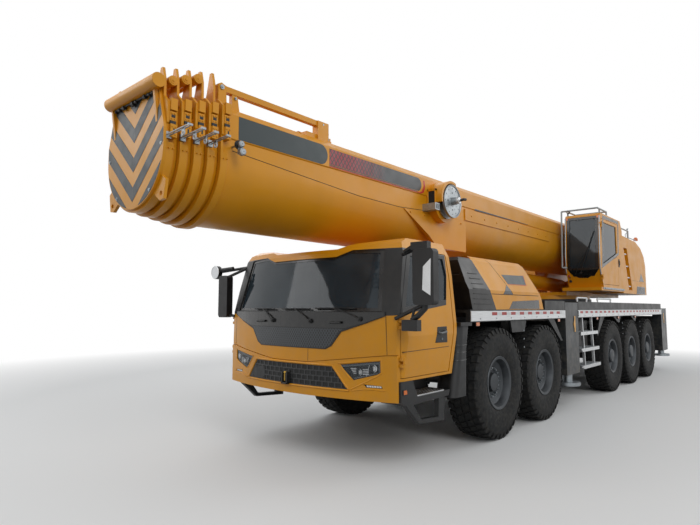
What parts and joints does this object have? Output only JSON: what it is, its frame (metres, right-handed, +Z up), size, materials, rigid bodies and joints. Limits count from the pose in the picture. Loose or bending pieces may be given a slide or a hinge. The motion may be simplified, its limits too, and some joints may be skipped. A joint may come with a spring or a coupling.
{
  "type": "mobile crane",
  "caption": "Road-going mobile crane with steered front axles, opening cab doors, sliding outriggers with jacks, slewing superstructure and a luffing telescopic boom.",
  "frame": {"origin": "on the ground, under the middle of the overall length and width", "axes": "+X forward, +Y to the vehicle's left, +Z up"},
  "size_m": [15.7951, 3.8, 4.0298],
  "materials": {
    "bare_aluminium": "satin",
    "black_paint": "satin",
    "black_plastic": "matte",
    "chrome": "gloss",
    "grey_paint": "satin",
    "lamp_lens": "gloss",
    "seat_cloth": "matte",
    "steel": "satin",
    "tinted_glass": "gloss",
    "tyre": "matte",
    "yellow_paint": "satin"
  },
  "bodies": {
    "carrier": {"chassis_frame": "black_paint", "deck": "black_paint", "side_rails": "bare_aluminium", "powertrain": "black_paint", "axle_beams": "black_paint", "engine_cover": "yellow_paint", "cab_shell": "yellow_paint", "cab_glass": "tinted_glass", "front_bumper": "yellow_paint", "cab_trim": "black_plastic", "lamps": "lamp_lens", "cab_interior": "seat_cloth", "slew_ring": "black_paint", "mudguards": "black_plastic", "access_steps": "bare_aluminium", "tanks": "black_paint"},
    "outrigger_beam_front_left": {"outrigger_beam_front_left": "black_paint"},
    "outrigger_jack_front_left": {"outrigger_jack_front_left": "steel"},
    "outrigger_beam_front_right": {"outrigger_beam_front_right": "black_paint"},
    "outrigger_jack_front_right": {"outrigger_jack_front_right": "steel"},
    "outrigger_beam_rear_left": {"outrigger_beam_rear_left": "black_paint"},
    "outrigger_jack_rear_left": {"outrigger_jack_rear_left": "steel"},
    "outrigger_beam_rear_right": {"outrigger_beam_rear_right": "black_paint"},
    "outrigger_jack_rear_right": {"outrigger_jack_rear_right": "steel"},
    "wheel_left_1": {"wheel_left_1": "tyre"},
    "knuckle_left_1": {"knuckle_left_1": "black_paint"},
    "wheel_right_1": {"wheel_right_1": "tyre"},
    "knuckle_right_1": {"knuckle_right_1": "black_paint"},
    "wheel_left_2": {"wheel_left_2": "tyre"},
    "knuckle_left_2": {"knuckle_left_2": "black_paint"},
    "wheel_right_2": {"wheel_right_2": "tyre"},
    "knuckle_right_2": {"knuckle_right_2": "black_paint"},
    "wheel_left_3": {"wheel_left_3": "tyre"},
    "wheel_right_3": {"wheel_right_3": "tyre"},
    "wheel_left_4": {"wheel_left_4": "tyre"},
    "wheel_right_4": {"wheel_right_4": "tyre"},
    "wheel_left_5": {"wheel_left_5": "tyre"},
    "wheel_right_5": {"wheel_right_5": "tyre"},
    "cab_door_left": {"cab_door_left": "yellow_paint", "door_glass_left": "tinted_glass"},
    "cab_door_right": {"cab_door_right": "yellow_paint", "door_glass_right": "tinted_glass"},
    "superstructure": {"turntable_frame": "yellow_paint", "tail_body": "yellow_paint", "hoist_winch": "yellow_paint", "upper_cab_shell": "yellow_paint", "upper_cab_glass": "tinted_glass", "upper_cab_interior": "seat_cloth", "handrails": "grey_paint"},
    "upper_cab_door": {"upper_cab_door": "yellow_paint", "upper_door_glass": "tinted_glass"},
    "boom_base": {"boom_base": "yellow_paint", "cable_reel": "yellow_paint"},
    "boom_section_1": {"boom_section_1": "yellow_paint"},
    "boom_section_2": {"boom_section_2": "yellow_paint"},
    "boom_section_3": {"boom_section_3": "yellow_paint"},
    "boom_section_4": {"boom_section_4": "yellow_paint"},
    "boom_section_5": {"boom_section_5": "yellow_paint"},
    "luff_barrel": {"luff_barrel": "yellow_paint"},
    "luff_rod": {"luff_rod": "chrome"}
  },
  "joints": [
    {"name": "outrigger_slide_front_left", "type": "slide", "parent": "carrier", "child": "outrigger_beam_front_left", "axis": [0, 1, 0], "range_m": [0, 2.1]},
    {"name": "jack_slide_front_left", "type": "slide", "parent": "outrigger_beam_front_left", "child": "outrigger_jack_front_left", "axis": [0, 0, -1], "range_m": [0, 0.6]},
    {"name": "outrigger_slide_front_right", "type": "slide", "parent": "carrier", "child": "outrigger_beam_front_right", "axis": [0, -1, 0], "range_m": [0, 2.1]},
    {"name": "jack_slide_front_right", "type": "slide", "parent": "outrigger_beam_front_right", "child": "outrigger_jack_front_right", "axis": [0, 0, -1], "range_m": [0, 0.6]},
    {"name": "outrigger_slide_rear_left", "type": "slide", "parent": "carrier", "child": "outrigger_beam_rear_left", "axis": [0, 1, 0], "range_m": [0, 2.1]},
    {"name": "jack_slide_rear_left", "type": "slide", "parent": "outrigger_beam_rear_left", "child": "outrigger_jack_rear_left", "axis": [0, 0, -1], "range_m": [0, 0.6]},
    {"name": "outrigger_slide_rear_right", "type": "slide", "parent": "carrier", "child": "outrigger_beam_rear_right", "axis": [0, -1, 0], "range_m": [0, 2.1]},
    {"name": "jack_slide_rear_right", "type": "slide", "parent": "outrigger_beam_rear_right", "child": "outrigger_jack_rear_right", "axis": [0, 0, -1], "range_m": [0, 0.6]},
    {"name": "steer_left_1", "type": "hinge", "parent": "carrier", "child": "knuckle_left_1", "pos_m": [3.3, 1.04, 0.7425], "axis": [0, 0, 1], "range_deg": [-32, 32]},
    {"name": "roll_left_1", "type": "hinge", "parent": "knuckle_left_1", "child": "wheel_left_1", "pos_m": [3.3, 1.262, 0.7425], "axis": [0, 1, 0], "continuous": true},
    {"name": "steer_right_1", "type": "hinge", "parent": "carrier", "child": "knuckle_right_1", "pos_m": [3.3, -1.04, 0.7425], "axis": [0, 0, 1], "range_deg": [-32, 32]},
    {"name": "roll_right_1", "type": "hinge", "parent": "knuckle_right_1", "child": "wheel_right_1", "pos_m": [3.3, -1.262, 0.7425], "axis": [0, 1, 0], "continuous": true},
    {"name": "steer_left_2", "type": "hinge", "parent": "carrier", "child": "knuckle_left_2", "pos_m": [1.68, 1.04, 0.7425], "axis": [0, 0, 1], "range_deg": [-22.4, 22.4]},
    {"name": "roll_left_2", "type": "hinge", "parent": "knuckle_left_2", "child": "wheel_left_2", "pos_m": [1.68, 1.262, 0.7425], "axis": [0, 1, 0], "continuous": true},
    {"name": "steer_right_2", "type": "hinge", "parent": "carrier", "child": "knuckle_right_2", "pos_m": [1.68, -1.04, 0.7425], "axis": [0, 0, 1], "range_deg": [-22.4, 22.4]},
    {"name": "roll_right_2", "type": "hinge", "parent": "knuckle_right_2", "child": "wheel_right_2", "pos_m": [1.68, -1.262, 0.7425], "axis": [0, 1, 0], "continuous": true},
    {"name": "roll_left_3", "type": "hinge", "parent": "carrier", "child": "wheel_left_3", "pos_m": [-2.14, 1.262, 0.7425], "axis": [0, 1, 0], "continuous": true},
    {"name": "roll_right_3", "type": "hinge", "parent": "carrier", "child": "wheel_right_3", "pos_m": [-2.14, -1.262, 0.7425], "axis": [0, 1, 0], "continuous": true},
    {"name": "roll_left_4", "type": "hinge", "parent": "carrier", "child": "wheel_left_4", "pos_m": [-3.74, 1.262, 0.7425], "axis": [0, 1, 0], "continuous": true},
    {"name": "roll_right_4", "type": "hinge", "parent": "carrier", "child": "wheel_right_4", "pos_m": [-3.74, -1.262, 0.7425], "axis": [0, 1, 0], "continuous": true},
    {"name": "roll_left_5", "type": "hinge", "parent": "carrier", "child": "wheel_left_5", "pos_m": [-5.34, 1.262, 0.7425], "axis": [0, 1, 0], "continuous": true},
    {"name": "roll_right_5", "type": "hinge", "parent": "carrier", "child": "wheel_right_5", "pos_m": [-5.34, -1.262, 0.7425], "axis": [0, 1, 0], "continuous": true},
    {"name": "door_hinge_left", "type": "hinge", "parent": "carrier", "child": "cab_door_left", "pos_m": [5.523, 1.452, 1.5], "axis": [0, 0, -1], "range_deg": [0, 65]},
    {"name": "door_hinge_right", "type": "hinge", "parent": "carrier", "child": "cab_door_right", "pos_m": [5.523, -1.452, 1.5], "axis": [0, 0, 1], "range_deg": [0, 65]},
    {"name": "slew", "type": "hinge", "parent": "carrier", "child": "superstructure", "pos_m": [-2.45, 0, 1.95], "axis": [0, 0, 1], "continuous": true},
    {"name": "upper_door_hinge", "type": "hinge", "parent": "superstructure", "child": "upper_cab_door", "pos_m": [-1.612, 1.468, 3], "axis": [0, 0, -1], "range_deg": [0, 85]},
    {"name": "boom_luff", "type": "hinge", "parent": "superstructure", "child": "boom_base", "pos_m": [-5.6, 0, 3.2], "axis": [0, -1, 0], "range_deg": [0, 80]},
    {"name": "telescope_1", "type": "slide", "parent": "boom_base", "child": "boom_section_1", "axis": [1, 0, 0], "range_m": [0, 11.5]},
    {"name": "telescope_2", "type": "slide", "parent": "boom_section_1", "child": "boom_section_2", "axis": [1, 0, 0], "range_m": [0, 11.5]},
    {"name": "telescope_3", "type": "slide", "parent": "boom_section_2", "child": "boom_section_3", "axis": [1, 0, 0], "range_m": [0, 11.5]},
    {"name": "telescope_4", "type": "slide", "parent": "boom_section_3", "child": "boom_section_4", "axis": [1, 0, 0], "range_m": [0, 11.5]},
    {"name": "telescope_5", "type": "slide", "parent": "boom_section_4", "child": "boom_section_5", "axis": [1, 0, 0], "range_m": [0, 11.5]},
    {"name": "luff_cylinder_swing", "type": "hinge", "parent": "superstructure", "child": "luff_barrel", "pos_m": [-3.3, 0, 2.3], "axis": [0, -1, 0], "range_deg": [0, 91.6]},
    {"name": "luff_cylinder_slide", "type": "slide", "parent": "luff_barrel", "child": "luff_rod", "axis": [0.9998, 0, 0.0217], "range_m": [0, 2.972]}
  ],
  "couplings": [
    {"joint": "steer_right_1", "follows": "steer_left_1", "ratio": 1},
    {"joint": "steer_left_2", "follows": "steer_left_1", "ratio": 0.7},
    {"joint": "steer_right_2", "follows": "steer_left_1", "ratio": 0.7},
    {"joint": "luff_cylinder_swing", "follows": "boom_luff", "ratio": 1.1392},
    {"joint": "luff_cylinder_slide", "follows": "boom_luff", "m_per_rad": 2.1212}
  ]
}
